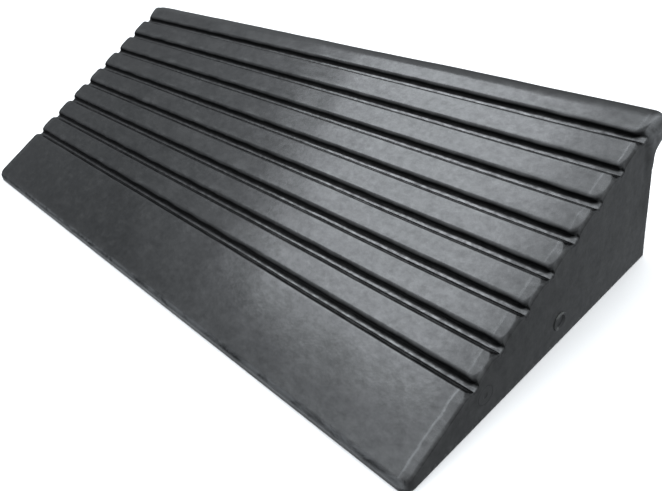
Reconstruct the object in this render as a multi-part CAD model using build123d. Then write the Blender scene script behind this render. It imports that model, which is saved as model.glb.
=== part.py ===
from build123d import *
import math
import os

os.makedirs("parts", exist_ok=True)

# ---------------------------------------------------------------------------
# Kerb ramp: a black rubber wedge that bridges a kerb.  X runs along the
# kerb, Y from the toe on the road to the kerb face, Z up.  Inside this file
# y is measured from the toe's front face; the finished solids are shifted so
# that the origin is the bottom centre of the whole ramp.
# ---------------------------------------------------------------------------

# overall
BODY_LENGTH = 750.0        # end face to end face
BASE_DEPTH = 300.0         # toe front face to kerb face, at the ground
LIP_BACK = 14.5            # how far the top lip stands out past the kerb face
LIP_END = 3.0              # how far the top lip stands out past each end face
LIP_CORNER_R = 13.0        # plan radius of the lip's two rear corners

# tread
SLOPE = 0.3966             # rise over run of the tread (21.6 degrees)
TOE_HEIGHT = 9.6           # height at which the tread plane meets the toe's front face
GROOVE_DEPTH = 5.8         # tread plane to groove floor, measured vertically
GROOVE_COUNT = 8
GROOVE_1_Y = 76.3          # first groove's centre
GROOVE_PITCH = 29.71
GROOVE_REAR_EDGE = -8.1    # rear edge of the rib in front, from the groove's centre
GROOVE_FLOOR_A = -2.3      # groove floor, front and back limits
GROOVE_FLOOR_B = 1.25
RISER_TOP = 1.35           # where the next rib's riser would meet the tread plane
RIB_FRONT_R = 5.3          # rounded front edge of each rib
RIB_REAR_R = 2.2           # small round on each rib's rear edge
GROOVE_R = 0.8             # concave round at the foot of each rib's rear flank
RISER_R = 3.0              # larger concave round at the foot of each riser
TOE_NOSE_R = 6.0           # rounded nose of the toe
TOE_FOOT_R = 0.8           # small round at the toe's foot
END_RX = 4.0               # rounded ends of apron and ribs: length of the roll-over
END_RZ = 2.7               # and its drop
TOE_CORNER_R = 9.0         # plan radius of the two toe corners

# top lip
LIP_CROWN_R = 18.0         # crown of the lip's top, falling towards its rear edge
LIP_CROWN_FALL = 16.0      # degrees below level behind the crown
LIP_CROWN_RUN = 10.2       # length of the falling part, between the two rounds' corners
LIP_TOP_R = 4.5            # rounded top rear edge
LIP_BACK_LOW_Z = 109.0     # lower limit of the lip's upright edge
COVE_LOW_Z = 86.0          # where the cove under the lip runs out into the wall
LIP_PLAN_GAP = 0.06        # clearance of the corner-rounding outline off the lip's flats

# cored underside
SKIN = 15.0                # rubber left under the groove floors, measured vertically
POCKET_COLUMNS = 9
POCKET_ROWS = 2
POCKET_X = 54.0            # pocket mouth along the ramp
POCKET_WEB = 15.0          # web between pockets
POCKET_Y0 = 128.0          # front limit of the first row
POCKET_Y1 = 282.0          # rear limit of the last row
POCKET_R = 6.0             # vertical corner radius at the mouth
POCKET_DRAFT = 2.0         # degrees

# link sockets in the end faces
SOCKET_Y = (84.0, 173.5)   # front and rear socket
SOCKET_Z = 21.3
MOUTH_R = 7.9              # plug mouth in the rubber
MOUTH_DEPTH = 8.0
SLEEVE_LENGTH = 45.0
SLEEVE_R = 8.5             # outside radius
SLEEVE_BORE_R = 6.1        # bore for a 12 mm link dowel
SLEEVE_COLLAR_R = 10.2     # retention collars that key the sleeve into the rubber
SLEEVE_COLLAR_T = 3.0
SLEEVE_COLLARS = (12.0, 30.0)   # front face of each collar, from the sleeve's mouth
PLUG_R = 7.8
PLUG_BACK = 7.5            # inner end of each plug, from the end face
FRONT_PLUG_EDGE = 0.2      # the front plugs sit flush, with a small centre dimple
FRONT_DIMPLE_R = 2.8
FRONT_DIMPLE_DEPTH = 0.5
REAR_PLUG_PROUD = 0.9      # the rear plugs stand out, with a raised rim round a recess
REAR_PLUG_EDGE = 0.6
REAR_RIM_R = 5.7           # inner edge of the rim
REAR_RECESS_R = 4.6        # floor of the recess
REAR_RECESS_DEPTH = 1.3

TOTAL_DEPTH = BASE_DEPTH + LIP_BACK
SHIFT = Pos(0, -TOTAL_DEPTH / 2, 0)
HALF = BODY_LENGTH / 2


def tread(y):
    """Height of the rib tops at depth y."""
    return TOE_HEIGHT + SLOPE * y


def floor(y):
    """Height of the groove floors at depth y."""
    return tread(y) - GROOVE_DEPTH


def groove_y(i):
    return GROOVE_1_Y + GROOVE_PITCH * i


def rounded_profile(corners):
    """Closed outline in the YZ plane from (y, z, radius) corners, each rounded."""
    n = len(corners)
    starts, ends, arcs = [], [], []
    for k in range(n):
        p = Vector(0, corners[k][0], corners[k][1])
        a = Vector(0, corners[k - 1][0], corners[k - 1][1])
        b = Vector(0, corners[(k + 1) % n][0], corners[(k + 1) % n][1])
        r = corners[k][2]
        u = (a - p).normalized()
        v = (b - p).normalized()
        if r <= 0:
            starts.append(p)
            ends.append(p)
            arcs.append(None)
            continue
        angle = math.acos(max(-1.0, min(1.0, u.dot(v))))
        t = r / math.tan(angle / 2)
        s = p + u * t
        e = p + v * t
        centre = p + (u + v).normalized() * (r / math.sin(angle / 2))
        mid = centre + (p - centre).normalized() * r
        starts.append(s)
        ends.append(e)
        arcs.append(ThreePointArc(s, mid, e))
    pieces = []
    for k in range(n):
        if arcs[k] is not None:
            pieces.append(arcs[k])
        nxt = starts[(k + 1) % n]
        if (nxt - ends[k]).length > 1e-6:
            pieces.append(Line(ends[k], nxt))
    return make_face(Wire(pieces))


def prism(face, x0, x1):
    """A YZ face swept from x0 to x1."""
    return Pos(x0, 0, 0) * extrude(face, amount=x1 - x0, dir=(1, 0, 0))


# --- the ribbed wedge --------------------------------------------------------
outline = [(0, 0, TOE_FOOT_R), (0, tread(0), TOE_NOSE_R)]
for i in range(GROOVE_COUNT):
    g = groove_y(i)
    outline += [
        (g + GROOVE_REAR_EDGE, tread(g + GROOVE_REAR_EDGE), RIB_REAR_R),
        (g + GROOVE_FLOOR_A, floor(g + GROOVE_FLOOR_A), GROOVE_R),
        (g + GROOVE_FLOOR_B, floor(g + GROOVE_FLOOR_B), RISER_R),
        (g + RISER_TOP, tread(g + RISER_TOP), RIB_FRONT_R),
    ]
# the lip's top: tread plane, crown, then a short fall to the rear edge
crown_y = TOTAL_DEPTH - LIP_CROWN_RUN * math.cos(math.radians(LIP_CROWN_FALL))
lip_top = tread(crown_y) - LIP_CROWN_RUN * math.sin(math.radians(LIP_CROWN_FALL))
# cove under the lip: an arc from the wall up to the lip's upright edge
cove_mid_y = BASE_DEPTH + 0.30 * LIP_BACK
cove_mid_z = COVE_LOW_Z + 0.60 * (LIP_BACK_LOW_Z - COVE_LOW_Z)
outline += [
    (crown_y, tread(crown_y), LIP_CROWN_R),
    (TOTAL_DEPTH, lip_top, LIP_TOP_R),
    (TOTAL_DEPTH, LIP_BACK_LOW_Z, 3.0),
    (cove_mid_y, cove_mid_z, 18.0),
    (BASE_DEPTH, COVE_LOW_Z, 18.0),
    (BASE_DEPTH, 0, TOE_FOOT_R),
]
wedge = prism(rounded_profile(outline), -HALF, HALF)

# rounded ends: an envelope whose top follows the tread and whose ends roll over
run = Vector(0, 1, SLOPE).normalized()


def roll_over(half, y_from, length):
    """Solid between two rolled ends at x = -half and x = half, its top in the tread plane."""
    top = tread(y_from)
    low = -260.0
    with BuildLine(Plane((0, y_from, 0), x_dir=(1, 0, 0), z_dir=(0, -1, 0))) as line:
        Line((-half, low), (-half, top - END_RZ))
        EllipticalCenterArc((-half + END_RX, top - END_RZ), END_RX, END_RZ, 180, arc_size=-90)
        Line((-half + END_RX, top), (half - END_RX, top))
        EllipticalCenterArc((half - END_RX, top - END_RZ), END_RX, END_RZ, 90, arc_size=-90)
        Polyline((half, top - END_RZ), (half, low), (-half, low))
    return extrude(make_face(line.line), amount=length, dir=tuple(run))


envelope = roll_over(HALF, -40.0, 420.0)
wedge = wedge & envelope

# rounded toe corners in plan
corner_plan = Plane.XY * RectangleRounded(BODY_LENGTH, 2 * BASE_DEPTH, TOE_CORNER_R)
plan = extrude(Pos(0, BASE_DEPTH, -10) * corner_plan, amount=300)
plan += Pos(0, BASE_DEPTH + 60, 140) * Box(BODY_LENGTH, 320, 300)
wedge = wedge & plan

# --- lip ears: the top rib's ends stand out past the end faces ---------------
g8 = groove_y(GROOVE_COUNT - 1)
ear_outline = [
    (g8 + RISER_TOP - 0.2, floor(g8 + RISER_TOP) - 1.5, 0),
    (g8 + RISER_TOP, tread(g8 + RISER_TOP), RIB_FRONT_R),
    (crown_y, tread(crown_y), LIP_CROWN_R),
    (TOTAL_DEPTH, lip_top, LIP_TOP_R),
    (TOTAL_DEPTH, LIP_BACK_LOW_Z, 3.0),
    (cove_mid_y, cove_mid_z, 18.0),
    (BASE_DEPTH, COVE_LOW_Z, 0),
]
ear_bar = prism(rounded_profile(ear_outline), HALF - 12, HALF + LIP_END)

# the ear's own shape along the ramp: cove below, rolled edge above
with BuildLine(Plane.XZ) as ear_line:
    m1 = Line((HALF - 12, COVE_LOW_Z - 4), (HALF, COVE_LOW_Z - 4))
    m2 = ThreePointArc(
        (HALF, COVE_LOW_Z - 4),
        (HALF + 0.24 * LIP_END, COVE_LOW_Z + 10),
        (HALF + LIP_END, LIP_BACK_LOW_Z + 2),
    )
    m3 = Polyline(
        (HALF + LIP_END, LIP_BACK_LOW_Z + 2),
        (HALF + LIP_END, 150),
        (HALF - 12, 150),
        (HALF - 12, COVE_LOW_Z - 4),
    )
ear_form = extrude(Pos(0, 260, 0) * make_face(ear_line.line), amount=60, dir=(0, 1, 0))
ear = ear_bar & ear_form
# rolled outer edge along the top of the ear, following the tread
ear = ear & roll_over(HALF + LIP_END, 240.0, 120.0)
body = wedge + ear + mirror(ear, about=Plane.YZ)
# rounded rear corners of the lip, in plan; the plan stands a hair outside the lip's
# flat sides, so that only its two corners cut
lip_plan = extrude(
    Pos(0, TOTAL_DEPTH + LIP_PLAN_GAP - 300, -10)
    * RectangleRounded(BODY_LENGTH + 2 * (LIP_END + LIP_PLAN_GAP), 600, LIP_CORNER_R),
    amount=300,
)
body = body & lip_plan

# --- cored underside -----------------------------------------------------------
pocket_y = (POCKET_Y1 - POCKET_Y0 - POCKET_WEB * (POCKET_ROWS - 1)) / POCKET_ROWS
pitch_x = POCKET_X + POCKET_WEB
pitch_y = pocket_y + POCKET_WEB
roof_run = extrude(
    make_face(
        Polyline(
            (0, 0, -20),
            (0, 400, -20),
            (0, 400, floor(400) - SKIN),
            (0, 40, floor(40) - SKIN),
            close=True,
        )
    ),
    amount=BODY_LENGTH,
    dir=(1, 0, 0),
)
roof_run = Pos(-HALF, 0, 0) * roof_run
for row in range(POCKET_ROWS):
    for col in range(POCKET_COLUMNS):
        cx = (col - (POCKET_COLUMNS - 1) / 2) * pitch_x
        cy = POCKET_Y0 + pocket_y / 2 + row * pitch_y
        mouth = Pos(cx, cy, 0) * RectangleRounded(POCKET_X, pocket_y, POCKET_R)
        pocket = extrude(mouth, amount=110, taper=POCKET_DRAFT) & roof_run
        body = body - pocket

# --- link sockets --------------------------------------------------------------


def along_x(r, length, x0):
    """A cylinder on the X axis from x0 towards +X."""
    return Pos(x0, 0, 0) * extrude(Plane.YZ * Circle(r), amount=length)


def sleeve_solid():
    """Sleeve in its own frame: mouth at x = 0, body towards -X."""
    s = along_x(SLEEVE_R, SLEEVE_LENGTH, -SLEEVE_LENGTH)
    for c in SLEEVE_COLLARS:
        s += along_x(SLEEVE_COLLAR_R, SLEEVE_COLLAR_T, -c - SLEEVE_COLLAR_T)
    return s


def plug_solid(place):
    """End plug turned about the X axis: end face of the ramp at x = 0, body towards -X."""
    if place == "front":
        face, edge = 0.0, FRONT_PLUG_EDGE
        middle = [
            (face - FRONT_DIMPLE_DEPTH, 0),
            (face - FRONT_DIMPLE_DEPTH, 0.6 * FRONT_DIMPLE_R),
            (face, FRONT_DIMPLE_R),
        ]
    else:
        face, edge = REAR_PLUG_PROUD, REAR_PLUG_EDGE
        middle = [
            (face - REAR_RECESS_DEPTH, 0),
            (face - REAR_RECESS_DEPTH, REAR_RECESS_R),
            (face - 0.2, REAR_RIM_R - 0.2),
            (face, REAR_RIM_R),
        ]
    rim = [(face, PLUG_R - edge), (face - 0.3 * edge, PLUG_R - 0.3 * edge), (face - edge, PLUG_R)]
    back = [(-PLUG_BACK + 0.6, PLUG_R), (-PLUG_BACK, PLUG_R - 0.6), (-PLUG_BACK, 0)]
    section = make_face(Polyline(*[(x, r, 0) for x, r in middle + rim + back], close=True))
    return revolve(section, Axis.X, 360)


nodes = {}
for side, sx in (("right", 1), ("left", -1)):
    for place, sy in zip(("front", "rear"), SOCKET_Y):
        at = Pos(HALF, sy, SOCKET_Z)
        sleeve = Pos(-MOUTH_DEPTH, 0, 0) * sleeve_solid()
        # the sleeve's cavity in the rubber ends blind at the sleeve's inner end
        hole = along_x(MOUTH_R, MOUTH_DEPTH + 5, -MOUTH_DEPTH) + sleeve
        bored = sleeve - along_x(SLEEVE_BORE_R, 200, -120)
        plug = plug_solid(place)
        hole, bored, plug = at * hole, at * bored, at * plug
        if sx < 0:
            hole = mirror(hole, about=Plane.YZ)
            bored = mirror(bored, about=Plane.YZ)
            plug = mirror(plug, about=Plane.YZ)
        body = body - hole
        nodes[f"socket_sleeve_{side}_{place}"] = bored
        nodes[f"end_plug_{side}_{place}"] = plug

nodes["ramp_body"] = body

for name, shape in nodes.items():
    placed = SHIFT * shape
    solids = placed.solids()
    print(name, len(solids), "solid(s)", round(sum(s.volume for s in solids), 1), "mm3")
    export_step(placed if len(solids) > 1 else solids[0], f"parts/{name}.step")
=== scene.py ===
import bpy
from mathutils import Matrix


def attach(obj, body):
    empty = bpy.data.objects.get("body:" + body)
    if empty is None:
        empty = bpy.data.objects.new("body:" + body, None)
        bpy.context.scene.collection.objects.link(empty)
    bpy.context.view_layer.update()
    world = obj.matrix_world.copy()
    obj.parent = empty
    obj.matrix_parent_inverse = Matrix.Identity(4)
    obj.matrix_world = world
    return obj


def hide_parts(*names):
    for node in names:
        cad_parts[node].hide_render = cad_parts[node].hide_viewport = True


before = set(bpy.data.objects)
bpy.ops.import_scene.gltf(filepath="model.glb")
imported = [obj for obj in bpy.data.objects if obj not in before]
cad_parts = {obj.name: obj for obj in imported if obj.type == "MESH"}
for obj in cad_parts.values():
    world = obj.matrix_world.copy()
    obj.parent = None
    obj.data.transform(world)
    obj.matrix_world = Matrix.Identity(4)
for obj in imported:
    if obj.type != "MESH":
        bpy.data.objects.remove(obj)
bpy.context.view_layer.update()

import math

import bmesh
import bpy
import numpy as np
from mathutils import Matrix, Vector
from mathutils.geometry import delaunay_2d_cdt

# ---------------------------------------------------------------------------
# Kerb ramp in black moulded rubber.  Lengths here are millimetres, x along the
# ramp from its middle, y from the toe's front face, z up; the finished mesh is
# scaled to metres and moved to the row frame at the end.
# ---------------------------------------------------------------------------
HALF = 750.0 / 2
BASE_DEPTH = 300.0
LIP_BACK = 14.5
LIP_END = 3.0
TOTAL_DEPTH = BASE_DEPTH + LIP_BACK
SLOPE, TOE_HEIGHT = 0.3966, 9.6
GROOVE_DEPTH, GROOVE_COUNT, GROOVE_1_Y, GROOVE_PITCH = 5.8, 8, 76.3, 29.71
SOCKET_Y, SOCKET_Z = (84.0, 173.5), 21.3
MOUTH_R, MOUTH_DEPTH = 7.9, 8.0
SLEEVE_R, SLEEVE_LENGTH, COLLAR_R, COLLAR_T, COLLARS = 8.5, 45.0, 10.2, 3.0, (12.0, 30.0)
SKIN = 15.0
POCKET_COLUMNS, POCKET_ROWS, POCKET_X, POCKET_WEB = 9, 2, 54.0, 15.0
POCKET_Y0, POCKET_Y1, POCKET_R, POCKET_DRAFT = 128.0, 282.0, 6.0, math.radians(2.0)
TOE_CORNER_R, LIP_CORNER_R, WALL_CORNER_R, FOOT_R = 9.0, 13.0, 2.2, 0.8


def tread(y):
    return TOE_HEIGHT + SLOPE * y


def smooth(t):
    t = np.clip(t, 0.0, 1.0)
    return t * t * (3 - 2 * t)


class Waves:
    """A smooth, repeatable irregular function of two lengths, about -1 to 1."""

    def __init__(self, seed, scale, terms=9):
        rng = np.random.default_rng(seed)
        angle = rng.uniform(0, math.tau, terms)
        length = scale * rng.uniform(0.6, 1.7, terms)
        self.kx, self.ky = math.tau * np.cos(angle) / length, math.tau * np.sin(angle) / length
        self.phase = rng.uniform(0, math.tau, terms)
        self.gain = 1.6 / math.sqrt(terms)

    def __call__(self, x, y, stretch=1.0):
        x, y = np.asarray(x, float), np.asarray(y, float)
        total = np.zeros(np.broadcast(x, y).shape)
        for a, b, p in zip(self.kx, self.ky, self.phase):
            total += np.sin(a * x / stretch + b * y + p)
        return total * self.gain / 1.5


def trace(corners, spacing, arc_step=None):
    """Points along an open line of (y, z, radius[, spacing]) corners, each corner rounded."""
    out = [np.array(corners[0][:2], float)]
    for k in range(1, len(corners)):
        p, before = np.array(corners[k][:2], float), np.array(corners[k - 1][:2], float)
        r = corners[k][2]
        gap = corners[k][3] if len(corners[k]) > 3 else spacing
        arc = []
        start = p
        if k < len(corners) - 1 and r > 0:
            after = np.array(corners[k + 1][:2], float)
            u, v = (before - p) / np.linalg.norm(before - p), (after - p) / np.linalg.norm(after - p)
            angle = math.acos(np.clip(u @ v, -1, 1))
            t = r / math.tan(angle / 2)
            start, end = p + u * t, p + v * t
            centre = p + (u + v) / np.linalg.norm(u + v) * r / math.sin(angle / 2)
            turn = math.pi - angle
            n = max(3, math.ceil(math.degrees(turn) / (arc_step or (8.0 if r > 3 else 14.0 if r > 1 else 18.0))))
            a0 = math.atan2(*(start - centre)[::-1])
            sign = 1.0 if u[0] * v[1] - u[1] * v[0] < 0 else -1.0
            arc = [
                centre + r * np.array([math.cos(a0 + sign * turn * i / n), math.sin(a0 + sign * turn * i / n)])
                for i in range(1, n)
            ] + [end]
        last = out[-1]
        d = np.linalg.norm(start - last)
        m = max(1, math.ceil(d / gap)) if d > 1e-6 else 0
        out += [last + (start - last) * (i + 1) / m for i in range(m)]
        out += arc
    return np.array(out)


# --- the cross-section -------------------------------------------------------
# each groove, from its own line: the rib's rear edge, the foot of its flank, the foot and the top of the riser
REAR_EDGE, FLANK_FOOT, RISER_FOOT, RISER_TOP = -8.1, -2.3, 1.25, 1.35
REAR_R, FLANK_R, FILLET_R, NOSE_R = 2.2, 0.8, 2.0, 5.4
GROOVE_MID = -1.7
groove_y = [GROOVE_1_Y + GROOVE_PITCH * i for i in range(GROOVE_COUNT)]
CROWN_Y = TOTAL_DEPTH - 10.2 * math.cos(math.radians(16.0))
corners = [(FOOT_R, 0, 0), (0, 0, FOOT_R - 1e-3), (0, tread(0), 6.0), (groove_y[0] - 24.0, tread(groove_y[0] - 24.0), 0)]
for g in groove_y:
    corners += [
        (g + REAR_EDGE, tread(g + REAR_EDGE), REAR_R, 2.0),
        (g + FLANK_FOOT, tread(g + FLANK_FOOT) - GROOVE_DEPTH, FLANK_R, 1.3),
        (g + RISER_FOOT, tread(g + RISER_FOOT) - GROOVE_DEPTH, FILLET_R, 1.2),
        (g + RISER_TOP, tread(g + RISER_TOP), NOSE_R, 1.2),
    ]
corners += [
    (CROWN_Y, tread(CROWN_Y), 18.0, 2.0),
    (TOTAL_DEPTH, tread(CROWN_Y) - 10.2 * math.sin(math.radians(16.0)), 4.5, 1.2),
    (TOTAL_DEPTH, 109.0, 3.0),
    (BASE_DEPTH + 0.30 * LIP_BACK, 86.0 + 0.60 * 23.0, 18.0),
    (BASE_DEPTH, 86.0, 18.0),
    (BASE_DEPTH, 0, FOOT_R - 1e-3),
    (BASE_DEPTH - FOOT_R, 0, 0),
]
profile = trace(corners, 4.6)
PY, PZ = profile[:, 0], profile[:, 1]
N = len(profile)
PDROP = np.maximum(tread(PY) - PZ, 0)
BACK = int(np.argmax(PY))          # from here the line runs down the kerb side
# how far down a groove each point of the section sits; the material darkens the colour by it as painted shade
groove_share = np.clip(PDROP / GROOVE_DEPTH, 0, 1)
groove_share[BACK:] = 0
groove_share[PY < 20] = 0

back_z, back_y = PZ[BACK:][::-1], PY[BACK:][::-1]


def depth_at(z):
    """How far back the kerb side stands at height z."""
    return np.where(z > 109.0, TOTAL_DEPTH, np.interp(z, back_z, back_y))


def flare(y, z):
    """How far the end stands out under and at the top rib, past the plain end face."""
    cove = LIP_END * np.clip((z - 80.0) / 31.0, 0, 1) ** 2.1
    front = np.where(z < 112.0, 284.6 + 5.0 * smooth((101.0 - z) / 19.0), 284.0)
    out = cove * smooth((y - front) / np.where(z < 112.0, 9.0, 6.0))
    # the end face leans in a little above the sockets
    return out - 0.8 * smooth((z - 32.0) / 30.0) * (1 - smooth((y - 286.0) / 12.0))


# --- stations along the ramp ---------------------------------------------------
end_t = [
    0, .05, .17, .36, .62, .95, 1.35, 1.8, 2.3, 2.85, 3.4, 4.0, 4.6, 5.2, 5.8, 6.3, 6.8, 7.3, 7.8, 8.3, 8.8,
    9.4, 10.2, 11.2, 12.5, 14.2, 16.8, 20.5, 25.0,
]
inner = np.linspace(end_t[-1], 2 * HALF - end_t[-1], 112)[1:-1]
STATION_T = np.array(list(end_t) + list(np.minimum(inner, 2 * HALF - inner)) + list(end_t[::-1]))
STATION_SIDE = np.array([-1] * len(end_t) + [(-1 if v < HALF else 1) for v in inner] + [1] * len(end_t))
S = len(STATION_T)

# the ribs' ends: where the flat starts to lean, how much, the radius of the rolled edge and its height,
# the worn ridge by the lean (place and height), and the flat's corner radii in plan
PADS = GROOVE_COUNT + 1
lean_at = {
    -1: [8.3, 7.7, 8.1, 7.5, 7.1, 6.1, 7.9, 5.9, 6.5],
    1: [8.4, 8.1, 7.9, 8.3, 7.3, 5.7, 8.5, 5.8, 6.5],
}
lean_by = {
    -1: [.045, .020, .024, .018, .026, .014, .016, .040, .015],
    1: [.045, .024, .020, .026, .030, .012, .014, .045, .015],
}
roll_r = {
    -1: [2.9, 3.4, 3.3, 3.1, 3.4, 3.0, 2.9, 3.1, 5.6],
    1: [2.8, 3.5, 3.3, 3.2, 3.3, 2.9, 2.8, 3.0, 5.6],
}
roll_height = [1.8, 2.6, 2.7, 2.6, 2.8, 2.6, 2.7, 2.7, 4.8]
ridge_at = {
    -1: [8.7, 9.5, 10.1, 9.5, 8.7, 8.5, 10.5, 6.2, 10.5],
    1: [8.7, 9.9, 10.3, 10.1, 8.7, 8.1, 11.3, 6.1, 10.5],
}
ridge_by = {
    -1: [.060, .035, .030, .035, .030, .015, .030, .070, .02],
    1: [.065, .040, .035, .040, .035, .015, .030, .080, .02],
}
# how strongly a painted highlight lightens each rib's ridge crest
crest_highlight_by = [1.0, 0.45, 0.4, 0.35, 0.5, 0.45, 0.8, 0.35, 0.6]
front_corner = {
    -1: [1.0, 5.0, 5.6, 4.6, 6.4, 5.6, 6.6, 3.6, 9.5],
    1: [1.0, 5.2, 4.8, 5.4, 5.0, 8.0, 7.6, 3.2, 9.5],
}
rear_corner = {
    -1: [3.0, 2.6, 3.2, 2.4, 3.6, 2.8, 3.4, 2.2, 1.0],
    1: [2.8, 3.0, 2.6, 3.4, 5.2, 1.8, 4.2, 2.2, 1.0],
}

land_front = np.array([-1e9] + [g + RISER_TOP for g in groove_y])
land_rear = np.array([g + REAR_EDGE for g in groove_y] + [1e9])
turn = math.atan2(GROOVE_DEPTH + SLOPE * (RISER_TOP - RISER_FOOT), RISER_TOP - RISER_FOOT) - math.atan(SLOPE)
land_front[1:] += NOSE_R * math.tan(turn / 2) * math.cos(math.atan(SLOPE))
bend = math.atan2(GROOVE_DEPTH - SLOPE * (FLANK_FOOT - REAR_EDGE), FLANK_FOOT - REAR_EDGE) + math.atan(SLOPE)
land_rear[:-1] -= REAR_R * math.tan(bend / 2) * math.cos(math.atan(SLOPE))
PAD = np.searchsorted([g + GROOVE_MID for g in groove_y], PY)
ON_TREAD = (np.arange(N) < BACK) & (PY > 30.0) & (PY < land_front[-1] + 6.0)
OUT_FRONT, OUT_REAR = land_front[PAD] - PY, PY - land_rear[PAD]
IS_FRONT = OUT_FRONT > OUT_REAR
OUT_SIDE = np.where(IS_FRONT, OUT_FRONT, OUT_REAR)
# distance from the edge of a land to the foot of its nose and of its flank
nose_foot = land_front[4] - (groove_y[3] + RISER_FOOT - 0.66 * FILLET_R)
flank_foot = (groove_y[3] + FLANK_FOOT) - land_rear[3]


def hold(out, foot):
    """How much of a corner's draw-back a point takes: all at the land's edge, none at the foot or deep in the land."""
    return np.clip(np.where(out > 0, 1 - out / foot, 1 + out / 16.0), 0, 1)


HOLD_FRONT, HOLD_REAR = hold(OUT_FRONT, nose_foot), hold(OUT_REAR, flank_foot)

# the grooves are not quite even in width: the ribs reach back a little in the left half and forward at the right;
# each share is full on its side of the groove and fades out over the floor and into the land
in_groove = PY - np.array(groove_y)[np.clip(np.searchsorted([g + 12.0 for g in groove_y], PY), 0, GROOVE_COUNT - 1)]
floor_end = RISER_FOOT - 0.66 * FILLET_R
over_floor = np.clip((floor_end - in_groove) / (floor_end - FLANK_FOOT), 0, 1)
into_land = np.clip(1 + (in_groove - (land_rear[3] - groove_y[3])) / 9.0, 0, 1)
into_next = np.clip(1 - (in_groove - (land_front[4] - groove_y[3])) / 7.0, 0, 1)
FLANK_SIDE = over_floor * into_land * ON_TREAD
NOSE_SIDE = (1 - over_floor) * into_next * ON_TREAD

edge_wave = Waves(11, 34.0)
fine_wave = Waves(12, 9.0)
end_wander = Waves(13, 14.0)
# which flank a point is on, numbered along the section, and how much of the flank's wander it takes
PEDGE = PAD * 2 + IS_FRONT
PEDGE_SHARE = smooth(PDROP / 1.6) * smooth((GROOVE_DEPTH - PDROP) / 2.6)
PEDGE_SHARE[(PY < 40) | (np.arange(N) >= BACK)] = 0
# the corner and riser in front of each rib, where the moulding is dull and its colour is darkened as painted shade
from_groove = PY - np.array(groove_y)[np.clip(PAD - 1, 0, GROOVE_COUNT - 1)]
riser_share = np.where(ON_TREAD & IS_FRONT, smooth((PDROP - 0.9) / 1.2) * (1 - smooth((PDROP - 3.6) / 1.6)), 0)


def per_pad(values):
    return np.asarray(values, float)[PAD]


def end_drop(t, lean, by, radius, height):
    """Drop at distance t from the end: a slight lean, then a rolled edge that meets the end face flush."""
    u = np.clip(1 - t / radius, 0, 1)
    roll = height * (1 - np.sqrt(np.clip(1 - u**2.1, 0, 1)))
    d = lean - t
    soft = 0.5 * (d + np.sqrt(d * d + 0.5))
    return by * soft * smooth((15.5 - t) / 6.0) + roll


points = np.zeros((S, N, 3))
end_share, wear_share, crest_highlight_share = np.zeros((S, N)), np.zeros((S, N)), np.zeros((S, N))
for s in range(S):
    t, side = STATION_T[s], STATION_SIDE[s]
    wander = 0.35 * end_wander(PY, side * 91.0)
    t_here = t + wander * smooth((t - 0.4) / 3.0) * (1 - smooth((t - 10.5) / 6.0))
    down_end = end_drop(
        t_here, per_pad(lean_at[side]), per_pad(lean_by[side]), per_pad(roll_r[side]), per_pad(roll_height)
    )
    # the flat of each rib has rounded corners in plan, while the feet of its sides run straight on
    pull = np.zeros(N)
    for sign, radius, share in ((1, per_pad(front_corner[side]), HOLD_FRONT), (-1, per_pad(rear_corner[side]), HOLD_REAR)):
        past = per_pad(roll_r[side]) * 0.8 - t_here
        inset = radius * np.clip((radius + past) / radius, 0, 1) ** 2.3
        pull += sign * inset * share
    to_right = smooth((side * (HALF - t) - 60.0) / 240.0)
    pull += 0.9 * (1 - to_right) * FLANK_SIDE - 0.65 * to_right * NOSE_SIDE
    pull = np.where(np.arange(N) < BACK, pull, 0)
    down_side = np.minimum(PDROP, GROOVE_DEPTH)
    pad_drop = GROOVE_DEPTH - (GROOVE_DEPTH - down_side) * (GROOVE_DEPTH - np.minimum(down_end, 5.2)) / GROOVE_DEPTH
    # groove floors turn over the end with a small radius
    edge = 1.4 - np.sqrt(np.clip(1.4**2 - np.clip(1.4 - t, 0, 1.4) ** 2, 0, None))
    pad_drop = pad_drop + edge * smooth((down_side - 2.6) / 2.6)
    # toe and lip: the two rounds run into each other
    joined = (down_end**2.6 + PDROP**2.6) ** (1 / 2.6)
    z = np.where(ON_TREAD, tread(PY) - pad_drop, PZ - (joined - PDROP) * np.clip(PZ / 8.0, 0, 1)) + SLOPE * pull
    ridge = per_pad(ridge_by[side]) * np.exp(-(((t_here - per_pad(ridge_at[side])) / 0.75) ** 2))
    land = np.clip(1 - PDROP / 0.5, 0, 1) * (np.arange(N) < BACK) * (1 - smooth(down_side / 0.4))
    z = z + ridge * land
    # the top rib sags a little towards its ends
    z = z - 0.6 * smooth((44.0 - t) / 38.0) * (PAD == GROOVE_COUNT) * smooth((PZ - 104.0) / 12.0)
    x = side * (HALF - t + flare(PY, PZ) * (1 - smooth(t / 26.0)))
    # slightly uneven rib edges, fading out at the ends
    line = PEDGE * 57.0
    wobble = 0.17 * edge_wave(x, line) + 0.07 * fine_wave(x, line)
    y = PY + pull + wobble * PEDGE_SHARE * smooth(t / 12.0)
    points[s] = np.stack([x, y, z], 1)
    reach = np.where(ON_TREAD & (down_side > 3.4), 3.2, 5.0)
    end_share[s] = 1 - smooth(t / reach)
    by_end = 1 - smooth((t_here - 4.5) / 13.0)
    by_front = 0.8 * (1 - smooth(-OUT_FRONT / 5.0))
    wear_share[s] = np.maximum(by_end, by_front) * (1 - smooth(down_side / 1.4)) * (np.arange(N) < BACK)
    # painted highlight: a light line along the crest of the ridge near each rib's end
    line_at = per_pad(ridge_at[side]) + 0.3 * fine_wave(PY, side * 17.0)
    crest_highlight_share[s] = per_pad(crest_highlight_by) * np.exp(-(((t_here - line_at) / 0.8) ** 2)) * (1 - smooth(down_side / 1.0)) * (np.arange(N) < BACK)

verts = [points.reshape(-1, 3)]
count = S * N
faces = []
grid = np.arange(S * N).reshape(S, N)
for s in range(S - 1):
    a, b = grid[s], grid[s + 1]
    faces += np.stack([a[:-1], a[1:], b[1:], b[:-1]], 1).tolist()

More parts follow.
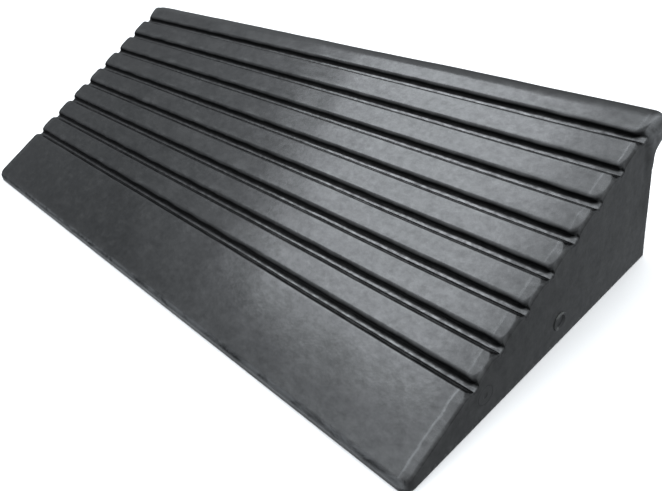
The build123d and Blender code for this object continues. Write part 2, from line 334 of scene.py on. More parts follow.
groove_value = [np.tile(groove_share, S)]
riser_value = [(smooth((STATION_T - 1.2) / 3.6)[:, None] * riser_share[None, :]).ravel()]
side_value = [end_share.ravel()]
wear_value = [wear_share.ravel()]
crest_value = [crest_highlight_share.ravel()]


def add(block, groove=0.0, side=0.0):
    """Adds vertices and returns the index of each."""
    global count
    block = np.asarray(block, float).reshape(-1, 3)
    verts.append(block)
    groove_value.append(np.full(len(block), groove))
    riser_value.append(np.zeros(len(block)))
    side_value.append(np.full(len(block), side))
    wear_value.append(np.zeros(len(block)))
    crest_value.append(np.zeros(len(block)))
    ids = np.arange(count, count + len(block))
    count += len(block)
    return ids


def inside(poly, pts):
    """Which points lie inside a closed polygon."""
    x, y = pts[:, 0], pts[:, 1]
    hit = np.zeros(len(pts), bool)
    j = len(poly) - 1
    for i in range(len(poly)):
        xi, yi, xj, yj = *poly[i], *poly[j]
        if yi != yj:
            hit ^= ((yi > y) != (yj > y)) & (x < (xj - xi) * (y - yi) / (yj - yi) + xi)
        j = i
    return hit


def spaced(candidates, fixed, gap):
    """Candidates in order, each kept if nothing kept or fixed is nearer than its gap."""
    cell = 6.0
    table = {}
    for p in fixed:
        table.setdefault((int(p[0] // cell), int(p[1] // cell)), []).append(p)
    kept = []
    for p, g in zip(candidates, gap):
        cx, cy = int(p[0] // cell), int(p[1] // cell)
        reach = int(g // cell) + 1
        near = False
        for i in range(cx - reach, cx + reach + 1):
            for j in range(cy - reach, cy + reach + 1):
                for q in table.get((i, j), ()):
                    if (p[0] - q[0]) ** 2 + (p[1] - q[1]) ** 2 < g * g:
                        near = True
                        break
                if near:
                    break
            if near:
                break
        if not near:
            kept.append(p)
            table.setdefault((cx, cy), []).append(p)
    return np.array(kept).reshape(-1, 2)


def fill(outer, holes, extra):
    """Triangles between an outer loop and hole loops, through extra points.
    Returns (points, triangles); the loops' points come first, in order."""
    loops = [np.asarray(outer)] + [np.asarray(h) for h in holes]
    pts = np.vstack(loops + ([extra] if len(extra) else []))
    edges, base = [], 0
    for loop in loops:
        n = len(loop)
        edges += [(base + i, base + (i + 1) % n) for i in range(n)]
        base += n
    v, _, f, origin, _, _ = delaunay_2d_cdt([Vector(p) for p in pts], edges, [], 0, 1e-6)
    if len(v) != len(pts):
        raise RuntimeError(f"fill: {len(v)} points came back from {len(pts)}")
    back = [o[0] for o in origin]
    tri = np.array([[back[i] for i in t] for t in f])
    # walk inwards from the hull, changing between outside and inside at each loop edge
    border = {tuple(sorted(e)) for e in edges}
    sharing = {}
    for k, t in enumerate(tri.tolist()):
        for e in ((t[0], t[1]), (t[1], t[2]), (t[2], t[0])):
            sharing.setdefault(tuple(sorted(e)), []).append(k)
    level = np.full(len(tri), -1)
    queue = []
    for e, owners in sharing.items():
        if len(owners) == 1 and level[owners[0]] < 0:
            level[owners[0]] = 1 if e in border else 0
            queue.append(owners[0])
    while queue:
        k = queue.pop()
        t = tri[k].tolist()
        for e in ((t[0], t[1]), (t[1], t[2]), (t[2], t[0])):
            e = tuple(sorted(e))
            for other in sharing[e]:
                if level[other] < 0:
                    level[other] = (level[k] + 1) % 2 if e in border else level[k]
                    queue.append(other)
    keep = level == 1
    return pts, tri[keep]


def ring(cx, cy, r, n, phase=0.0):
    a = phase + np.arange(n) * math.tau / n
    return np.stack([cx + r * np.cos(a), cy + r * np.sin(a)], 1)


# --- end faces with their sockets ------------------------------------------------
RING = 40
socket_lathe = [
    (8.06, 0.0), (8.0, 0.03), (7.95, 0.10), (7.92, 0.25), (MOUTH_R, 0.6), (MOUTH_R, 4.5), (MOUTH_R, MOUTH_DEPTH), (SLEEVE_R, MOUTH_DEPTH),
    (SLEEVE_R, MOUTH_DEPTH + COLLARS[0]), (COLLAR_R, MOUTH_DEPTH + COLLARS[0]),
    (COLLAR_R, MOUTH_DEPTH + COLLARS[0] + COLLAR_T), (SLEEVE_R, MOUTH_DEPTH + COLLARS[0] + COLLAR_T),
    (SLEEVE_R, MOUTH_DEPTH + COLLARS[1]), (COLLAR_R, MOUTH_DEPTH + COLLARS[1]),
    (COLLAR_R, MOUTH_DEPTH + COLLARS[1] + COLLAR_T), (SLEEVE_R, MOUTH_DEPTH + COLLARS[1] + COLLAR_T),
    (SLEEVE_R, MOUTH_DEPTH + SLEEVE_LENGTH),
]
foot_y = np.linspace(BASE_DEPTH - FOOT_R, FOOT_R, 54)[1:-1]
end_foot = {}
for side, s in ((-1, 0), (1, S - 1)):
    rim_ids = grid[s]
    rim = points[s][:, 1:3]
    foot_ids = add(np.stack([np.full(len(foot_y), side * HALF), foot_y, np.zeros(len(foot_y))], 1), 0, 1)
    end_foot[side] = foot_ids
    outer = np.vstack([rim, np.stack([foot_y, np.zeros(len(foot_y))], 1)])
    outer_ids = np.concatenate([rim_ids, foot_ids])
    holes, hole_ids = [], []
    for sy in SOCKET_Y:
        loop = ring(sy, SOCKET_Z, socket_lathe[0][0], RING)
        ids = add(np.stack([np.full(RING, side * HALF), loop[:, 0], loop[:, 1]], 1), 0, 1)
        holes.append(loop)
        hole_ids.append(ids)
    extra, gap = [], []
    for sy in SOCKET_Y:
        for r, n in ((9.9, 36), (12.2, 28)):
            extra += ring(sy, SOCKET_Z, r, n, 0.05).tolist()
            gap += [1.0] * n
    for dy in (0.5, 1.2, 2.0, 3.0, WALL_CORNER_R, 6.2, 8.0):
        zs = np.concatenate([(0.3 * FOOT_R, 0.63 * FOOT_R, FOOT_R), np.arange(2.5, 124, 3.2)])
        extra += [(float(depth_at(zz)) - dy, zz) for zz in zs]
        gap += [0.17] * 3 + [0.42] * (len(zs) - 3)
    for zz in (0.3 * FOOT_R, 0.63 * FOOT_R, FOOT_R):
        extra += [(yy, zz) for yy in np.arange(3.0, 298, 5.6)]
        gap += [0.17] * len(np.arange(3.0, 298, 5.6))
    for yy in np.arange(279.0, 309.0, 1.7):
        for zz in np.arange(80.0, 128.0, 1.9):
            extra.append((yy, zz))
            gap.append(1.05)
    for yy in np.arange(0.8, 12.0, 1.3):
        for zz in np.arange(1.6, 12.0, 1.5):
            extra.append((yy, zz))
            gap.append(0.7)
    for i, yy in enumerate(np.arange(4.0, 300.0, 5.0)):
        for zz in np.arange(3.0, 126.0, 5.0):
            extra.append((yy, zz + (2.5 if i % 2 else 0)))
            gap.append(3.0)
    extra, gap = np.array(extra), np.array(gap)
    keep = inside(outer, extra)
    for sy in SOCKET_Y:
        keep &= np.hypot(extra[:, 0] - sy, extra[:, 1] - SOCKET_Z) > 9.2
    # well inside the rim: no nearer to it than a share of the gap
    chosen = spaced(extra[keep], np.vstack([outer] + holes), gap[keep])
    pts, tri = fill(outer, holes, chosen)
    inner_pts = pts[len(outer) + 2 * RING:]
    ids = add(
        np.stack([side * (HALF + flare(inner_pts[:, 0], inner_pts[:, 1])), inner_pts[:, 0], inner_pts[:, 1]], 1), 0, 1
    )
    lookup = np.concatenate([outer_ids] + hole_ids + [ids])
    faces += lookup[tri].tolist()
    # the sockets' walls
    for sy, first in zip(SOCKET_Y, hole_ids):
        previous = first
        for r, d in socket_lathe[1:]:
            loop = ring(sy, SOCKET_Z, r, RING)
            now = add(np.stack([np.full(RING, side * (HALF - d)), loop[:, 0], loop[:, 1]], 1), 0, 1)
            for i in range(RING):
                j = (i + 1) % RING
                faces.append([previous[i], previous[j], now[j], now[i]])
            previous = now
        faces.append(previous.tolist())

# --- underside with its cores ------------------------------------------------------
front_ids, rear_ids = grid[:, 0], grid[:, -1]
outer_ids = np.concatenate([front_ids, end_foot[1][::-1], rear_ids[::-1], end_foot[-1]])
flat_all = np.vstack(verts)
outer = flat_all[outer_ids][:, :2]
pocket_y = (POCKET_Y1 - POCKET_Y0 - POCKET_WEB * (POCKET_ROWS - 1)) / POCKET_ROWS


def rounded_loop(cx, cy, wx, wy, r, corner=6, side_step=9.0):
    """Closed loop of a rounded rectangle, with the same number of points for any size."""
    out = []
    nx, ny = round(POCKET_X / side_step), round(pocket_y / side_step)
    for k, (sx, sy) in enumerate(((1, 1), (-1, 1), (-1, -1), (1, -1))):
        px, py = cx + sx * (wx / 2 - r), cy + sy * (wy / 2 - r)
        for i in range(corner + 1):
            a = math.pi / 2 * (k + i / corner)
            out.append((px + r * math.cos(a), py + r * math.sin(a)))
        # straight side to the next corner
        n = nx if k % 2 == 0 else ny
        a = math.pi / 2 * (k + 1)
        x0, y0 = px + r * math.cos(a), py + r * math.sin(a)
        nsx, nsy = ((-1, 1), (-1, -1), (1, -1), (1, 1))[k]
        qx, qy = cx + nsx * (wx / 2 - r), cy + nsy * (wy / 2 - r)
        x1, y1 = qx + r * math.cos(a), qy + r * math.sin(a)
        out += [(x0 + (x1 - x0) * i / n, y0 + (y1 - y0) * i / n) for i in range(1, n)]
    return np.array(out)


def roof(y):
    return tread(y) - GROOVE_DEPTH - SKIN


holes, hole_ids = [], []
for row in range(POCKET_ROWS):
    for col in range(POCKET_COLUMNS):
        cx = (col - (POCKET_COLUMNS - 1) / 2) * (POCKET_X + POCKET_WEB)
        cy = POCKET_Y0 + pocket_y / 2 + row * (pocket_y + POCKET_WEB)
        loop = rounded_loop(cx, cy, POCKET_X + 2.4, pocket_y + 2.4, POCKET_R + 1.2)
        ids = add(np.column_stack([loop, np.zeros(len(loop))]))
        holes.append(loop)
        hole_ids.append(ids)
        previous = ids
        levels = [(0.8, 0.12), (0.35, 0.42), (0.1, 0.85), (0.0, 1.4)]
        rings = []
        for out_by, z in levels:
            lp = rounded_loop(cx, cy, POCKET_X + 2 * out_by, pocket_y + 2 * out_by, POCKET_R + out_by)
            rings.append(np.column_stack([lp, np.full(len(lp), z)]))
        for share in (0.2, 0.4, 0.6, 0.8, 1.0):
            low = rounded_loop(cx, cy, POCKET_X, pocket_y, POCKET_R)
            z = 1.4 + (roof(low[:, 1]) - 4.0 - 1.4) * share
            inset = np.tan(POCKET_DRAFT) * z
            scale_x, scale_y = 1 - inset / (POCKET_X / 2), 1 - inset / (pocket_y / 2)
            lp = np.column_stack([cx + (low[:, 0] - cx) * scale_x, cy + (low[:, 1] - cy) * scale_y])
            rings.append(np.column_stack([lp, z]))
        top = rings[-1]
        for inset, below in ((0.35, 2.3), (1.2, 0.95), (2.4, 0.3), (4.0, 0.0)):
            sx, sy = 1 - inset / (POCKET_X / 2 - 1.5), 1 - inset / (pocket_y / 2 - 1.5)
            lp = np.column_stack([cx + (top[:, 0] - cx) * sx, cy + (top[:, 1] - cy) * sy])
            rings.append(np.column_stack([lp, roof(lp[:, 1]) - below]))
        n = len(loop)
        for block in rings:
            now = add(block)
            for i in range(n):
                j = (i + 1) % n
                faces.append([previous[i], previous[j], now[j], now[i]])
            previous = now
        faces.append(previous.tolist())

extra, gap = [], []
for d in (0.3 * FOOT_R, 0.63 * FOOT_R, FOOT_R, 4.0, 9.0):
    ys = np.arange(4.0, 298, 5.6)
    for side in (-1, 1):
        extra += [(side * (HALF - d), yy) for yy in ys]
        gap += [0.15 if d < 3 else 1.5] * len(ys)
for i, xx in enumerate(np.arange(-360, 361, 12.0)):
    for yy in np.arange(8.0, 296.0, 12.0):
        extra.append((xx, yy + (6 if i % 2 else 0)))
        gap.append(5.0)
extra, gap = np.array(extra), np.array(gap)
keep = inside(outer, extra)
for h in holes:
    keep &= ~inside(h, extra)
chosen = spaced(extra[keep], np.vstack([outer] + holes), gap[keep])
pts, tri = fill(outer, holes, chosen)
inner_pts = pts[len(outer) + sum(len(h) for h in holes):]
ids = add(np.column_stack([inner_pts, np.zeros(len(inner_pts))]))
lookup = np.concatenate([outer_ids] + hole_ids + [ids])
faces += lookup[tri].tolist()

# --- soft corners of the whole moulding ----------------------------------------------
V = np.vstack(verts)
SX = np.sign(V[:, 0])


def round_square(a, b, r):
    """Maps the square corner 0..r, 0..r onto a quarter disc, ring by ring."""
    hit = (a > 0) & (b > 0)
    m = np.maximum(a, b)
    l = np.hypot(a, b)
    k = np.where(hit, m / np.where(l > 1e-9, l, 1), 1.0)
    return a * k, b * k


# the lower edge of each end
a, b = np.abs(V[:, 0]) - (HALF - FOOT_R), FOOT_R - V[:, 2]
a2, b2 = round_square(a, b, FOOT_R)
deep_hole = np.abs(V[:, 0]) < HALF - 2
V[:, 0] = np.where((a > 0) & (b > 0) & ~deep_hole, SX * (HALF - FOOT_R + a2), V[:, 0])
V[:, 2] = np.where((a > 0) & (b > 0) & ~deep_hole, FOOT_R - b2, V[:, 2])
# toe corners, in plan
a, b = np.abs(V[:, 0]) - (HALF - TOE_CORNER_R), TOE_CORNER_R - V[:, 1]
a2, b2 = round_square(a, b, TOE_CORNER_R)
hit = (a > 0) & (b > 0)
V[:, 0] = np.where(hit, SX * (HALF - TOE_CORNER_R + a2), V[:, 0])
V[:, 1] = np.where(hit, TOE_CORNER_R - b2, V[:, 1])
# kerb-side corners, in plan: small on the wall, larger on the lip
r = WALL_CORNER_R + (LIP_CORNER_R - WALL_CORNER_R) * smooth((V[:, 2] - 86.0) / 24.0)
wide = HALF + flare(V[:, 1], V[:, 2])
deep = depth_at(np.maximum(V[:, 2], FOOT_R + 0.5))
a, b = np.abs(V[:, 0]) - (wide - r), V[:, 1] - (deep - r)
a2, b2 = round_square(a, b, r)
hit = (a > 0) & (b > 0)
V[:, 0] = np.where(hit, SX * (wide - r + a2), V[:, 0])
V[:, 1] = np.where(hit, deep - r + b2, V[:, 1])

# --- mesh -----------------------------------------------------------------------------
mesh = bpy.data.meshes.new("ramp_moulding")
mesh.from_pydata(V.tolist(), [], [list(map(int, f)) for f in faces])
bm = bmesh.new()
bm.from_mesh(mesh)
bmesh.ops.recalc_face_normals(bm, faces=bm.faces)
open_edges = sum(1 for e in bm.edges if len(e.link_faces) != 2)
bm.to_mesh(mesh)
bm.free()
print("ramp mesh:", len(mesh.vertices), "vertices", len(mesh.polygons), "faces", open_edges, "open edges")

# gentle unevenness of the moulded surfaces
normal = np.zeros(len(V) * 3)
mesh.vertices.foreach_get("normal", normal)
normal = normal.reshape(-1, 3)
long_wave, mid_wave, end_wave = Waves(21, 240.0), Waves(22, 85.0), Waves(23, 60.0)
rib = np.searchsorted(groove_y, V[:, 1])
rib_shift = np.random.default_rng(5).uniform(0, 400, GROOVE_COUNT + 2)
ripple = 0.16 * long_wave(V[:, 0], V[:, 1] * 1.3) + 0.075 * mid_wave(V[:, 0], V[:, 1] + rib_shift[rib])
ripple += 0.035 * end_wave(V[:, 0] + V[:, 1], V[:, 2])
calm = smooth(V[:, 2] / 6.0)
on_socket = np.zeros(len(V), bool)
for sy in SOCKET_Y:
    on_socket |= (np.hypot(V[:, 1] - sy, V[:, 2] - SOCKET_Z) < 12) & (np.abs(V[:, 0]) > HALF - 70)
calm = np.where(on_socket, 0.0, calm)
V = V + normal * (ripple * calm)[:, None]
V[:, 2] = np.maximum(V[:, 2], 0.0)

V_m = V.copy()
V_m[:, 1] -= TOTAL_DEPTH / 2
V_m *= 0.001
mesh.vertices.foreach_set("co", V_m.astype(np.float32).ravel())
# painted reflection: the toe's front face is painted lighter in place of the bright floor it would mirror
toe_painted_reflection = 0.95 * smooth((4.4 - V[:, 1]) / 3.2) * smooth((V[:, 2] - 2.5) / 3.0)
rubbed_lip = 0.7 * smooth((V[:, 1] - 284.0) / 8.0) * smooth((V[:, 2] - 98.0) / 14.0) * smooth((np.abs(V[:, 0]) - (HALF - 6.5)) / 4.5)
crest_value = [np.maximum(np.maximum(np.concatenate(crest_value), toe_painted_reflection), rubbed_lip)]
for name, values in (("groove", groove_value), ("riser", riser_value), ("endface", side_value), ("wear", wear_value), ("crest", crest_value)):
    layer = mesh.attributes.new(name, "FLOAT", "POINT")
    layer.data.foreach_set("value", np.concatenate(values).astype(np.float32))
mesh.update()
mesh.polygons.foreach_set("use_smooth", [True] * len(mesh.polygons))
mesh.set_sharp_from_angle(angle=math.radians(48))

ramp = bpy.data.objects.new("ramp_moulding", mesh)
bpy.context.scene.collection.objects.link(ramp)
weighted = ramp.modifiers.new("Weighted normals", "WEIGHTED_NORMAL")
weighted.keep_sharp = True
weighted.weight = 60
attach(ramp, "ramp")
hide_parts("ramp_body")


# --- materials ---------------------------------------------------------------------------
class Nodes:
    """Short hand for building a material's node tree."""

    def __init__(self, name):
        self.material = bpy.data.materials.new(name)
        self.material.use_nodes = True
        self.tree = self.material.node_tree
        self.tree.nodes.clear()
        self.out = self.tree.nodes.new("ShaderNodeOutputMaterial")
        self.shader = self.tree.nodes.new("ShaderNodeBsdfPrincipled")
        self.tree.links.new(self.shader.outputs["BSDF"], self.out.inputs["Surface"])
        self.coord = self.tree.nodes.new("ShaderNodeTexCoord")

    def link(self, a, b):
        self.tree.links.new(a, b)

    def mapped(self, scale=(1, 1, 1), location=(0, 0, 0), rotation=(0, 0, 0)):
        m = self.tree.nodes.new("ShaderNodeMapping")
        m.inputs["Scale"].default_value = scale
        m.inputs["Location"].default_value = location
        m.inputs["Rotation"].default_value = rotation
        self.link(self.coord.outputs["Object"], m.inputs["Vector"])
        return m.outputs["Vector"]

    def noise(self, scale, detail=2.0, rough=0.5, vector=None, distortion=0.0):
        n = self.tree.nodes.new("ShaderNodeTexNoise")
        n.inputs["Scale"].default_value = scale
        n.inputs["Detail"].default_value = detail
        n.inputs["Roughness"].default_value = rough
        n.inputs["Distortion"].default_value = distortion
        self.link(vector or self.coord.outputs["Object"], n.inputs["Vector"])
        return n.outputs["Fac"]

    def voronoi(self, scale, feature="F1", vector=None, randomness=1.0):
        n = self.tree.nodes.new("ShaderNodeTexVoronoi")
        n.feature = feature
        n.inputs["Scale"].default_value = scale
        n.inputs["Randomness"].default_value = randomness
        self.link(vector or self.coord.outputs["Object"], n.inputs["Vector"])
        return n

    def ramp(self, fac, low, high, to_low=0.0, to_high=1.0, smooth_step=True):
        n = self.tree.nodes.new("ShaderNodeMapRange")
        n.interpolation_type = "SMOOTHSTEP" if smooth_step else "LINEAR"
        n.inputs["From Min"].default_value = low
        n.inputs["From Max"].default_value = high
        n.inputs["To Min"].default_value = to_low
        n.inputs["To Max"].default_value = to_high
        self.link(fac, n.inputs["Value"])
        return n.outputs["Result"]

    def math(self, op, a, b=None, c=None):
        n = self.tree.nodes.new("ShaderNodeMath")
        n.operation = op
        for i, v in enumerate((a, b, c)):
            if v is None:
                continue
            if isinstance(v, (int, float)):
                n.inputs[i].default_value = v
            else:
                self.link(v, n.inputs[i])
        return n.outputs[0]

    def mix(self, fac, a, b):
        n = self.tree.nodes.new("ShaderNodeMix")
        n.data_type = "RGBA"
        if isinstance(fac, (int, float)):
            n.inputs[0].default_value = fac
        else:
            self.link(fac, n.inputs[0])
        for i, v in ((6, a), (7, b)):
            if isinstance(v, tuple):
                n.inputs[i].default_value = (*v, 1.0)
            else:
                self.link(v, n.inputs[i])
        return n.outputs[2]

    def attribute(self, name):
        n = self.tree.nodes.new("ShaderNodeAttribute")
        n.attribute_name = name
        return n.outputs["Fac"]

    def bump(self, height, distance, strength=1.0, before=None):
        n = self.tree.nodes.new("ShaderNodeBump")
        n.inputs["Strength"].default_value = strength
        n.inputs["Distance"].default_value = distance
        self.link(height, n.inputs["Height"])
        if before is not None:
            self.link(before, n.inputs["Normal"])
        return n.outputs["Normal"]


def moulded_rubber():
    m = Nodes("moulded_rubber")
    blotch = m.noise(11.0, 4.0, 0.55, m.mapped((0.55, 1, 1)))
    cloud = m.noise(38.0, 3.0, 0.55, m.mapped((0.5, 1, 1), (3.1, 0.7, 0.2)))
    mottle = m.noise(130.0, 5.0, 0.66, m.mapped((0.7, 1, 1), (0.4, 2.3, 1.1)))
    film = m.noise(165.0, 5.0, 0.74, m.mapped((0.75, 1, 1), (5.2, 1.3, 0.6)))
    dust = m.noise(120.0, 5.0, 0.72, m.mapped((0.7, 1, 1), (7.7, 0.9, 2.6)))
    streak = m.noise(230.0, 3.0, 0.6, m.mapped((0.045, 1, 0.6), (1.7, 0.2, 0.4)))
    peel = m.noise(300.0, 2.0, 0.55, m.mapped((0.75, 1, 1)))
    grain = m.noise(950.0, 2.0, 0.6)
    # patches of rubbing, which also break up the painted highlight on the ridge crests
    rubbed = m.noise(85.0, 5.0, 0.68, m.mapped((0.4, 1, 1), (2.2, 4.1, 0.3)), 0.6)
    groove = m.attribute("groove")
    scuff = m.math("MULTIPLY", m.attribute("wear"), m.ramp(rubbed, 0.47, 0.70))

    # colour: near-black compound, a little dust and bloom in patches, greyer where it is rubbed; painted shade darkens
    # the grooves and risers, a painted highlight lines the ridge crests and a painted reflection lightens the toe
    colour = m.mix(m.ramp(blotch, 0.35, 0.7), (0.0015, 0.0017, 0.0019), (0.0028, 0.0029, 0.0030))
    colour = m.mix(m.math("MULTIPLY", m.ramp(cloud, 0.48, 0.76), 0.5), colour, (0.0110, 0.0108, 0.0104))
    colour = m.mix(m.math("MULTIPLY", m.ramp(dust, 0.47, 0.74), 0.62), colour, (0.0165, 0.0165, 0.0162))
    # painted shade: the grooves are darkened almost to black
    colour = m.mix(m.math("MULTIPLY", groove, 0.9), colour, (0.0006, 0.0006, 0.0007))
    # painted shade: the riser in front of each rib is darkened almost to black
    colour = m.mix(m.math("MULTIPLY", m.attribute("riser"), 0.9), colour, (0.0005, 0.0005, 0.0006))
    colour = m.mix(m.math("MULTIPLY", scuff, 0.75), colour, (0.027, 0.0275, 0.028))
    run_down = m.noise(95.0, 3.0, 0.6, m.mapped((1, 1, 0.07), (0.3, 1.9, 0.8)))
    run_down = m.math("MULTIPLY", m.attribute("endface"), m.ramp(run_down, 0.42, 0.72))
    colour = m.mix(m.math("MULTIPLY", run_down, 0.55), colour, (0.0125, 0.0132, 0.0120))
    # painted highlight along the ridge crests near the rib ends, together with the painted reflection on the toe and
    # the rubbed lip ends
    crest = m.math("MULTIPLY", m.attribute("crest"), m.ramp(rubbed, 0.36, 0.58, 0.25, 1.0))
    colour = m.mix(crest, colour, (0.062, 0.064, 0.066))
    m.link(colour, m.shader.inputs["Base Color"])

    # gloss: a moulded sheen broken by mottling, streaks along the ramp and rubbed edges
    rough = m.math("MULTIPLY_ADD", m.ramp(cloud, 0.25, 0.75), 0.03, 0.105)
    rough = m.math("MULTIPLY_ADD", m.ramp(mottle, 0.30, 0.72), 0.085, rough)
    rough = m.math("MULTIPLY_ADD", m.ramp(streak, 0.3, 0.72), 0.03, rough)
    rough = m.math("MULTIPLY_ADD", scuff, 0.07, rough)
    rough = m.math("MULTIPLY_ADD", m.attribute("endface"), 0.22, rough)
    m.link(rough, m.shader.inputs["Roughness"])
    sheen = m.math("MULTIPLY_ADD", m.ramp(film, 0.28, 0.72, smooth_step=False), 0.26, 0.37)
    fleck = m.noise(420.0, 3.0, 0.65, m.mapped((0.35, 1, 1), (1.1, 6.2, 0.9)))
    sheen = m.math("MULTIPLY", sheen, m.math("MULTIPLY_ADD", groove, m.ramp(fleck, 0.36, 0.66, -0.25, 0.55), 1.0))
    m.link(m.math("MULTIPLY", sheen, m.ramp(m.attribute("riser"), 0, 1, 1.0, 0.22, smooth_step=False)), m.shader.inputs["Specular IOR Level"])
    m.shader.inputs["IOR"].default_value = 1.5

    n1 = m.bump(mottle, 0.00012, 0.5)
    n2 = m.bump(peel, 0.00006, 0.5, n1)
    n3 = m.bump(streak, 0.00004, 0.5, n2)
    n4 = m.bump(grain, 0.00002, 0.5, n3)
    m.link(n4, m.shader.inputs["Normal"])
    return m.material


def plug_rubber():
    m = Nodes("plug_rubber")
    cloud = m.noise(160.0, 3.0, 0.55)
    grain = m.noise(1400.0, 2.0, 0.6)
    colour = m.mix(m.ramp(cloud, 0.35, 0.7), (0.0045, 0.0048, 0.0050), (0.0085, 0.0086, 0.0085))
    # painted highlights: the rear plugs' rims are painted lighter along the top, at one spot below and in a faint
    # ring, where their edges catch the light
    place = m.tree.nodes.new("ShaderNodeSeparateXYZ")
    m.link(m.coord.outputs["Object"], place.inputs["Vector"])
    across = m.math("SUBTRACT", place.outputs["Y"], 0.173500 - 0.5 * TOTAL_DEPTH / 1000)
    above = m.math("SUBTRACT", place.outputs["Z"], 0.0213)
    top = m.math("MULTIPLY", m.ramp(above, 0.0050, 0.0062), m.ramp(m.math("ABSOLUTE", across), 0.0058, 0.0085, 1.0, 0.0))
    from_spot = m.math("SQRT", m.math("ADD", m.math("POWER", m.math("ADD", across, 0.0043), 2.0), m.math("POWER", m.math("ADD", above, 0.0048), 2.0)))
    plug_painted_highlight = m.math("MAXIMUM", top, m.ramp(from_spot, 0.0012, 0.0027, 0.9, 0.0))
    from_centre = m.math("SQRT", m.math("ADD", m.math("POWER", across, 2.0), m.math("POWER", above, 2.0)))
    ring = m.math("MULTIPLY", m.ramp(from_centre, 0.0068, 0.0076, 0.0, 0.22), m.ramp(from_centre, 0.0082, 0.0090, 1.0, 0.0))
    plug_painted_highlight = m.math("MAXIMUM", plug_painted_highlight, ring)
    colour = m.mix(m.math("MULTIPLY", plug_painted_highlight, m.ramp(cloud, 0.3, 0.6, 0.55, 1.0)), colour, (0.052, 0.054, 0.052))
    m.link(colour, m.shader.inputs["Base Color"])
    m.link(m.math("MULTIPLY_ADD", m.ramp(cloud, 0.25, 0.75), 0.12, 0.36), m.shader.inputs["Roughness"])
    m.shader.inputs["IOR"].default_value = 1.5
    n1 = m.bump(cloud, 0.00015, 0.5)
    m.link(m.bump(grain, 0.00006, 0.5, n1), m.shader.inputs["Normal"])
    return m.material


def socket_steel():
    m = Nodes("socket_steel")
    spangle = m.voronoi(420.0).outputs["Color"]
    tone = m.noise(90.0, 3.0, 0.6)
    turned = m.noise(600.0, 2.0, 0.5, m.mapped((1, 0.05, 0.05)))
    colour = m.mix(m.ramp(tone, 0.3, 0.7), (0.50, 0.51, 0.53), (0.62, 0.62, 0.62))
    sep = m.tree.nodes.new("ShaderNodeSeparateColor")
    m.link(spangle, sep.inputs["Color"])
    m.link(colour, m.shader.inputs["Base Color"])
    m.shader.inputs["Metallic"].default_value = 1.0
    m.link(m.math("MULTIPLY_ADD", sep.outputs[0], 0.14, 0.28), m.shader.inputs["Roughness"])
    m.link(m.bump(turned, 0.00004, 0.6), m.shader.inputs["Normal"])
    return m.material


RUBBER, PLUG, STEEL = moulded_rubber(), plug_rubber(), socket_steel()
mesh.materials.append(RUBBER)
for name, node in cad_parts.items():
    look = RUBBER if name == "ramp_body" else PLUG if name.startswith("end_plug") else STEEL
    node.data.materials.clear()
    node.data.materials.append(look)

# --- stage, light and camera -----------------------------------------------------------
floor_mesh = bpy.data.meshes.new("floor")
F = 14.0
floor_mesh.from_pydata([(-F, -F, -0.0002), (F, -F, -0.0002), (F, F, -0.0002), (-F, F, -0.0002)], [], [(0, 1, 2, 3)])
floor = bpy.data.objects.new("floor", floor_mesh)
bpy.context.scene.collection.objects.link(floor)
pale = Nodes("pale_floor")
tone = pale.noise(6.0, 3.0, 0.5)
pale.link(pale.mix(pale.ramp(tone, 0.3, 0.7), (0.78, 0.78, 0.775), (0.81, 0.81, 0.805)), pale.shader.inputs["Base Color"])
pale.shader.inputs["Roughness"].default_value = 0.75
pale.shader.inputs["Specular IOR Level"].default_value = 0.2
floor_mesh.materials.append(pale.material)
floor.visible_glossy = False


def panel(name, azimuth, elevation, distance, width, height, radiance, colour):
    """A soft rectangular light facing the ramp; radiance is what its face shows."""
    data = bpy.data.lights.new(name, "AREA")
    data.shape = "RECTANGLE"
    data.size, data.size_y = width, height
    data.energy = radiance * math.pi * width * height
    data.color = colour
    light = bpy.data.objects.new(name, data)
    a, e = math.radians(azimuth), math.radians(elevation)
    away = Vector((math.cos(a) * math.cos(e), math.sin(a) * math.cos(e), math.sin(e)))
    light.location = Vector((0, 0, 0.05)) + away * distance
    light.rotation_mode = "QUATERNION"
    light.rotation_quaternion = away.to_track_quat("Z", "Y")
    bpy.context.scene.collection.objects.link(light)
    return light


# plain soft light: one large key panel high on the left, two fills, and a dome that is graded by height only
DAYLIGHT = (0.95, 1.0, 1.05)
panel("key", 174.0, 54.5, 6.5, 3.6, 2.4, 3.6, DAYLIGHT)
for name, azimuth, elevation, width, height in (("fill_right", 340.0, 48.0, 5.0, 4.0), ("fill_back", 75.0, 50.0, 5.0, 4.0)):
    panel(name, azimuth, elevation, 6.5, width, height, 2.2, (1.0, 1.0, 1.0)).visible_glossy = False

world = bpy.data.worlds.new("studio")
bpy.context.scene.world = world
world.use_nodes = True
tree = world.node_tree
background = tree.nodes["Background"]
where = tree.nodes.new("ShaderNodeTexCoord")
split = tree.nodes.new("ShaderNodeSeparateXYZ")
tree.links.new(where.outputs["Generated"], split.inputs["Vector"])


def spread(socket, low, high, kind):
    """Maps a part of the direction onto 0 to 1."""
    n = tree.nodes.new("ShaderNodeMapRange")
    n.interpolation_type = kind
    n.inputs["From Min"].default_value = low
    n.inputs["From Max"].default_value = high
    tree.links.new(socket, n.inputs["Value"])
    return n.outputs["Result"]


def dome(tones):
    """A sky of one colour whose brightness goes by height: tones are (sine of the elevation, brightness)."""
    n = tree.nodes.new("ShaderNodeValToRGB")
    tree.links.new(spread(split.outputs["Z"], -1.0, 1.0, "LINEAR"), n.inputs["Fac"])
    while len(n.color_ramp.elements) < len(tones):
        n.color_ramp.elements.new(0.5)
    for stop, (height, tone) in zip(n.color_ramp.elements, tones):
        stop.position = (height + 1) / 2
        stop.color = (*(tone * c for c in DAYLIGHT), 1.0)
    return n.outputs["Color"]


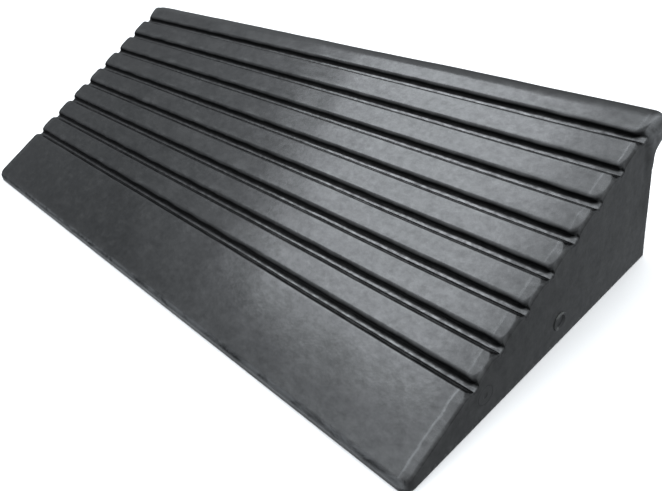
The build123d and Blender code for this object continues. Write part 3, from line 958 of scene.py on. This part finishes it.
# dark near the horizon and light above in front, darker low down behind, even on the right
front_sky = dome([(-0.5, 0.40), (-0.12, 0.02), (0.05, 0.02), (0.3, 0.30), (0.52, 0.52), (0.69, 1.5), (0.85, 3.3), (1.0, 3.3)])
low_front = dome([(-0.5, 0.40), (-0.2, 0.03), (0.05, 0.02), (0.29, 0.36), (0.53, 1.1), (0.69, 1.75), (1.0, 1.3)])
back_sky = dome([(-0.5, 0.15), (-0.12, 0.10), (0.35, 0.42), (0.7, 1.13), (0.9, 2.8), (1.0, 3.0)])
right_sky = dome([(-1.0, 0.31), (-0.17, 0.62), (0.57, 0.95), (1.0, 1.4)])


def blend(fac, a, b):
    n = tree.nodes.new("ShaderNodeMix")
    n.data_type = "RGBA"
    tree.links.new(fac, n.inputs[0])
    tree.links.new(a, n.inputs[6])
    tree.links.new(b, n.inputs[7])
    return n.outputs[2]


sky = blend(spread(split.outputs["Y"], -0.25, -0.8, "SMOOTHSTEP"), front_sky, low_front)
sky = blend(spread(split.outputs["Y"], 0.18, 0.50, "SMOOTHSTEP"), sky, back_sky)
sky = blend(spread(split.outputs["X"], -0.25, 0.2, "SMOOTHSTEP"), sky, right_sky)
sight = tree.nodes.new("ShaderNodeLightPath")
choose = tree.nodes.new("ShaderNodeMix")
choose.data_type = "RGBA"
tree.links.new(sight.outputs["Is Camera Ray"], choose.inputs[0])
tree.links.new(sky, choose.inputs[6])
choose.inputs[7].default_value = (0.9, 0.9, 0.9, 1.0)
tree.links.new(choose.outputs[2], background.inputs["Color"])
background.inputs["Strength"].default_value = 1.0

camera_data = bpy.data.cameras.new("camera")
camera_data.sensor_width = 36.0
camera_data.lens = 36.819
camera_data.clip_end = 100.0
camera = bpy.data.objects.new("camera", camera_data)
camera.matrix_world = Matrix((
    (0.6681316, -0.3384903, 0.6625892, 0.5752),
    (0.7211010, 0.5140182, -0.4645414, -0.31035),
    (-0.1833401, 0.7881685, 0.5875174, 0.3913),
    (0.0, 0.0, 0.0, 1.0),
))
bpy.context.scene.collection.objects.link(camera)
bpy.context.scene.camera = camera
bpy.context.scene.view_settings.view_transform = "Standard"

bpy.context.view_layer.update()
